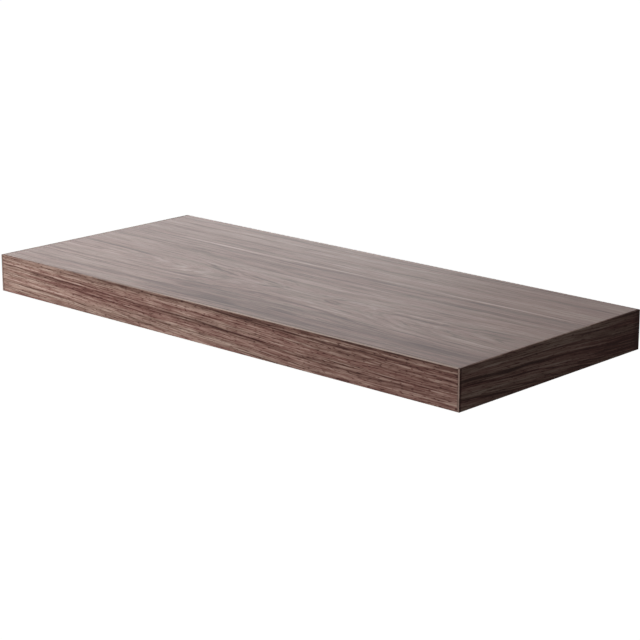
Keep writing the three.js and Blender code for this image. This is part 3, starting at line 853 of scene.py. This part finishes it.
# Holes and bores that several pieces share
rods = {"places": (-150, 150), "radius": 6.0, "tip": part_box("left_rod")[0].y / mm, "seat": -5.1,
        "chamfer": 1.5, "seatChamfer": 0.3, "tapped": 3.3, "tapDepth": 13.3, "tapCone": (1.6, 0.2),
        "bore": 6.4, "runOn": 5, "drilled": (-45, 5)}
inserts = {"across": -22.5, "hole": 5.1, "drilled": (-25, 0), "bottom": -19, "top": -7, "outer": 5.0,
           "core": 4.35, "inner": 3.3, "innerCrest": 3.12, "mouth": 3.6, "pitch": 2.0, "innerPitch": 1.0,
           "chamfer": 0.5, "collar": 1.2, "plainTop": 0.8, "plainMouth": 0.4}


def bore(obj, radius, axis, centre, low, high):
    cutAway(obj, turnPiece("drill", centre, axis, [(radius, low), (radius, high)]))


# Underside: skin and veneer, drilled for the threaded inserts
def makeUnderside():
    for name, node, material, slot in (("undersideVeneer", "bottom_veneer", "under", "walnut_veneer"),
                                       ("undersideSkin", "bottom_skin", "hardboard", "hardboard")):
        sheet = startBox(name, *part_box(node))
        for x in rods["places"]:
            bore(sheet, inserts["hole"], "Z", (x, inserts["across"], 0), *inserts["drilled"])
        dress(sheet, material, "board", node)


makeUnderside()
print("underside made")

# Softwood frame: planed rails and blocks with eased edges, bored for the rods and the inserts
timber = {"ease": 0.6, "steps": 2}


def makeFrame():
    def rail(name, node):
        return roundEdges(startBox(name, *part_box(node)), timber["ease"], timber["steps"])

    frontRail = rail("frontRail", "front_rail")
    rearRail = rail("rearRail", "rear_rail")
    endRail = rail("rightEndRail", "right_end_rail")
    block = rail("leftRodBlock", "left_rod_block")
    for x in rods["places"]:
        bore(rearRail, rods["bore"], "Y", (x, 0, 0), *rods["drilled"])
        bore(rearRail, inserts["hole"], "Z", (x, inserts["across"], 0), *inserts["drilled"])
    x = rods["places"][0]
    bore(block, rods["bore"], "Y", (x, 0, 0), rods["tip"] - rods["runOn"], rods["drilled"][1])
    otherBlock = copyPiece(block, "rightRodBlock", (rods["places"][1] - x, 0, 0))
    otherRail = mirrorPiece(endRail, "leftEndRail")
    for piece, material, node in (
            (frontRail, "pineAcross", "front_rail"), (rearRail, "pineAcross", "rear_rail"),
            (endRail, "pineDeep", "right_end_rail"), (otherRail, "pineDeep", "left_end_rail"),
            (block, "pineDeep", "left_rod_block"), (otherBlock, "pineDeep", "right_rod_block")):
        dress(piece, material, "board", node)


makeFrame()
print("frame made")

# Bracket bar: flat steel with rounded corners, slots for the wall screws and holes for the rod screws
bar = {
    "corner": 3.0, "cornerSteps": 8, "deburr": 0.35, "deburrSteps": 2, "slots": (-203.2, -75, 75, 203.2),
    "slotRadius": 3.25, "slotMouth": 6.15, "slotRun": 14, "holeRadius": 3.3, "holeMouth": 6.3,
}


# A countersunk drill: straight from beyond the back, then a cone that opens at the mouth
def countersink(centre, radius, mouthRadius, mouth, back, spun=0.0):
    way, beyond = math.copysign(1, mouth - back), shaping["beyond"]
    return turnPiece("countersink", centre, "Y", [
        (radius, back - beyond * way), (radius, mouth - (mouthRadius - radius) * way),
        (mouthRadius + beyond, mouth + beyond * way),
    ], spun=spun)


def makeBar():
    low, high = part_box("bracket_bar")
    front, back, near = low.y / mm, high.y / mm, shaping["near"]
    obj = startBox("bracketBar", low, high)
    startEdit(obj)
    pick(obj, "EDGE", lambda edge: abs(edge.verts[0].co.y - edge.verts[1].co.y) > mm)
    bpy.ops.mesh.bevel(offset=bar["corner"] * mm, segments=bar["cornerSteps"], profile=0.5, affect="EDGES")
    pick(obj, "EDGE", lambda edge: abs(edge.verts[0].co.y - edge.verts[1].co.y) < near * mm)
    bpy.ops.mesh.bevel(offset=bar["deburr"] * mm, segments=bar["deburrSteps"], profile=0.5, affect="EDGES")
    endEdit()
    for x in bar["slots"]:
        tool = countersink((x, 0, 0), bar["slotRadius"], bar["slotMouth"], front, back,
                           spun=math.pi / shaping["sides"])
        startEdit(tool)
        for side in (-1, 1):
            pick(tool, "VERT", lambda corner: (corner.co.x / mm - x) * side > near and
                 abs(corner.co.x / mm - x) < bar["slotMouth"] + shaping["beyond"] + near)
            bpy.ops.transform.translate(value=(side * bar["slotRun"] / 2 * mm, 0, 0))
        endEdit()
        cutAway(obj, tool)
    for x in rods["places"]:
        cutAway(obj, countersink((x, 0, 0), bar["holeRadius"], bar["holeMouth"], back, front))
    dress(obj, "zincBar", "bracket", "bracket_bar")


makeBar()
print("bracket bar made")

# Rods, chamfered at the tip and tapped at the seat, and the countersunk screws that hold them
rodScrews = {"top": -0.3, "head": 5.7, "rim": 0.15, "crest": 3.0, "root": 2.6, "neck": 1.0, "pitch": 1.0,
             "end": -16.3, "runOut": 0.8, "lead": 0.6, "tip": 2.2, "socket": 4.0, "socketDepth": 2.2}


def makeRods():
    x, other = rods["places"]
    radius, seat, eased = rods["radius"], rods["seat"], rods["seatChamfer"]
    tap = seat - rods["tapDepth"]
    coneLength, conePoint = rods["tapCone"]
    rod = turnPiece("leftRod", (x, 0, 0), "Y", [
        (radius - rods["chamfer"], rods["tip"]), (radius, rods["tip"] + rods["chamfer"]),
        (radius, seat - eased), (radius - eased, seat), (rods["tapped"], seat),
        (rods["tapped"], tap + coneLength), (conePoint, tap),
    ])
    size = rodScrews
    top, end, head, rim = size["top"], size["end"], size["head"], size["rim"]
    root, crest = size["root"], size["crest"]
    cone = top - rim - (head - crest)
    neck = cone - size["neck"]
    screw = turnPiece("leftRodScrew", (x, 0, 0), "Y", [
        (head - rim, top), (head, top - rim), (crest, cone), (crest, neck),
        *threadSteps(neck, end + size["runOut"], root, crest, size["pitch"]),
        (root, end + size["lead"]), (size["tip"], end),
    ], sides=shaping["screwSides"])
    cutAway(screw, keySocket((x, 0, 0), "Y", size["socket"], top - size["socketDepth"], shaping["beyond"]))
    for piece, node, material in ((rod, "rod", "zincRod"), (screw, "rod_screw", "zincBar")):
        twin = copyPiece(piece, piece.name.replace("left", "right"), (other - x, 0, 0))
        dress(piece, material, "bracket", "left_" + node)
        dress(twin, material, "bracket", "right_" + node)


makeRods()
print("rods and their screws made")

# Grub screws in brass sleeves, under the rods
lockScrews = {"bottom": -16.3, "top": -6.3, "crest": 2.97, "root": 2.55, "pitch": 1.0, "end": 2.2,
              "chamfer": 0.35, "threadFrom": 0.4, "threadTo": 0.6, "socket": 3.0, "socketDepth": 3.5,
              "socketFrom": -22}


def makeLocks():
    x, other = rods["places"]
    size = inserts
    y, low, high = size["across"], size["bottom"], size["top"]
    outer, core, mouth, collar = size["outer"], size["core"], size["mouth"], low + size["collar"]
    sleeve = turnPiece("leftInsert", (x, y, 0), "Z", [
        (mouth, low), (outer - size["chamfer"], low), (outer, low + size["chamfer"]), (outer, collar),
        *threadSteps(collar, high - size["plainTop"], core, outer, size["pitch"]),
        (core, high), (mouth, high),
        *threadSteps(high, low + size["plainMouth"], size["inner"], size["innerCrest"], size["innerPitch"]),
        (mouth, low),
    ], openRing=True)
    size = lockScrews
    low, high, root = size["bottom"], size["top"], size["root"]
    screw = turnPiece("leftLockScrew", (x, y, 0), "Z", [
        (size["end"], low), (root, low + size["chamfer"]),
        *threadSteps(low + size["threadFrom"], high - size["threadTo"], root, size["crest"], size["pitch"]),
        (root, high - size["chamfer"]), (size["end"], high),
    ], sides=shaping["screwSides"])
    cutAway(screw, keySocket((x, y, 0), "Z", size["socket"], size["socketFrom"], low + size["socketDepth"]))
    for piece, node, material, slot, body in (
            (sleeve, "insert", "brass", "brass", "board"),
            (screw, "lock_screw", "blackSteel", "black_steel", "lock_screw")):
        twin = copyPiece(piece, piece.name.replace("left", "right"), (other - x, 0, 0))
        for each, word in ((piece, "left_"), (twin, "right_")):
            dress(each, material, body if body == "board" else word + body, word + node)


makeLocks()
print("inserts and lock screws made")

# The sheets and cores whose CAD shape is right keep it, with their own finish
kept = {"top_veneer": "top", "top_skin": "hardboard", "left_core": "kraft", "centre_core": "kraft",
        "right_core": "kraft"}
for name, material in kept.items():
    nodes[name].data.materials.clear()
    nodes[name].data.materials.append(materials[material])
print("kept nodes dressed:", len(kept))
